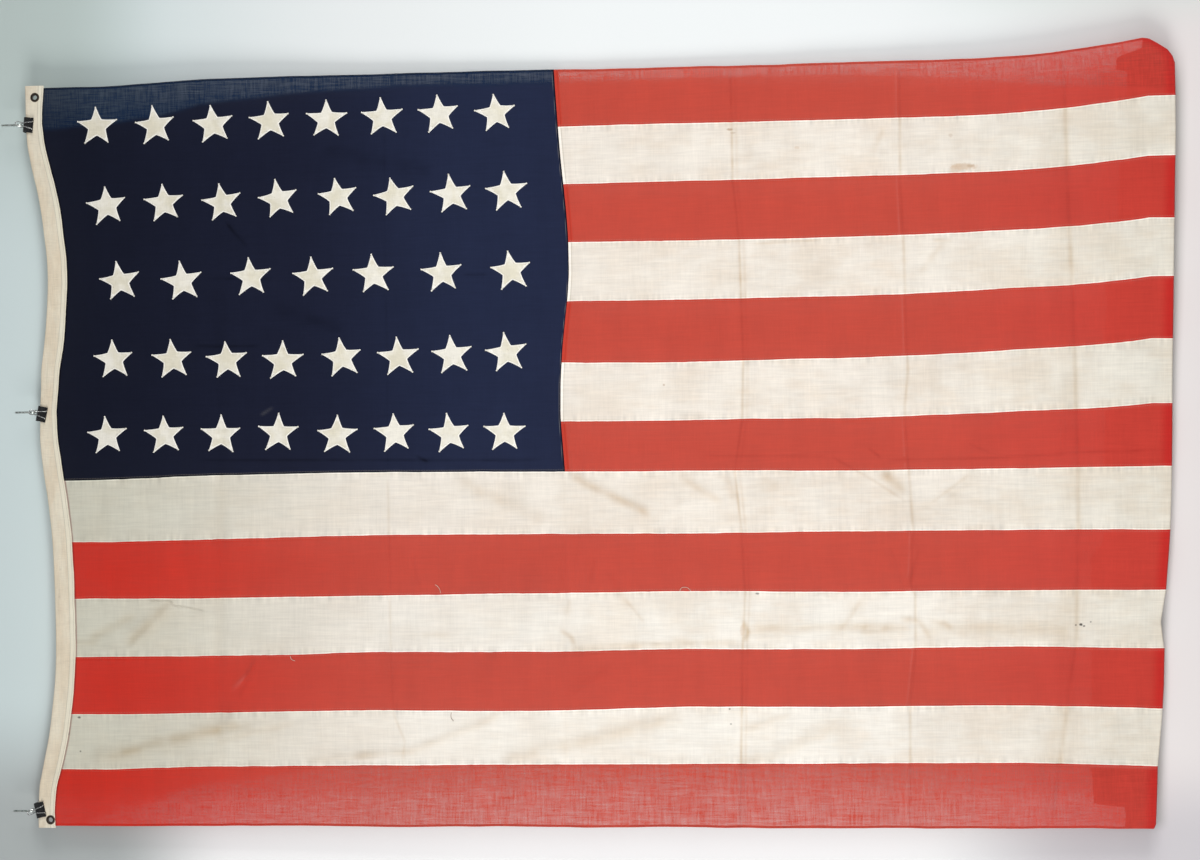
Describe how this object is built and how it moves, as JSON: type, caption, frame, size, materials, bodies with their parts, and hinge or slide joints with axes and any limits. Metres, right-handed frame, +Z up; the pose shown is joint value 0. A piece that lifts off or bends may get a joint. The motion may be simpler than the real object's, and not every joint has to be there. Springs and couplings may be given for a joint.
{
  "type": "flag hung from clips and hooks",
  "caption": "Old stars and stripes flag of wool bunting, hung straight down by its canvas heading from binder clips on wall hooks, with its torn fly end turned back behind.",
  "frame": {"origin": "centre of the middle hook's flat end, where it leaves the wall", "axes": "+Z up, +Y from the flag into the wall that it hangs on, +X to the viewer's right, the side of the canton"},
  "size_m": [1.5595, 0.0753, 2.3705],
  "materials": {
    "red_bunting": "matte, open plain weave",
    "white_bunting": "matte, open plain weave, yellowed",
    "blue_bunting": "matte, open plain weave",
    "heading_canvas": "matte cotton canvas, soiled",
    "grommet_brass": "tarnished",
    "clip_enamel": "gloss black enamel",
    "bright_steel": "bright nickel plate"
  },
  "bodies": {
    "root": {"canton": "blue_bunting", "stripe_01": "red_bunting", "stripe_02": "white_bunting", "stripe_03": "red_bunting", "stripe_04": "white_bunting", "stripe_05": "red_bunting", "stripe_06": "white_bunting", "stripe_07": "red_bunting", "stripe_08": "white_bunting", "stripe_09": "red_bunting", "stripe_10": "white_bunting", "stripe_11": "red_bunting", "stripe_12": "white_bunting", "stripe_13": "red_bunting", "heading": "heading_canvas", "grommet_1": "grommet_brass", "grommet_2": "grommet_brass", "clip_1": "clip_enamel", "clip_1_handle_front": "bright_steel", "clip_1_handle_back": "bright_steel", "hook_1": "bright_steel", "clip_2": "clip_enamel", "clip_2_handle_front": "bright_steel", "clip_2_handle_back": "bright_steel", "hook_2": "bright_steel", "clip_3": "clip_enamel", "clip_3_handle_front": "bright_steel", "clip_3_handle_back": "bright_steel", "hook_3": "bright_steel"}
  },
  "joints": []
}
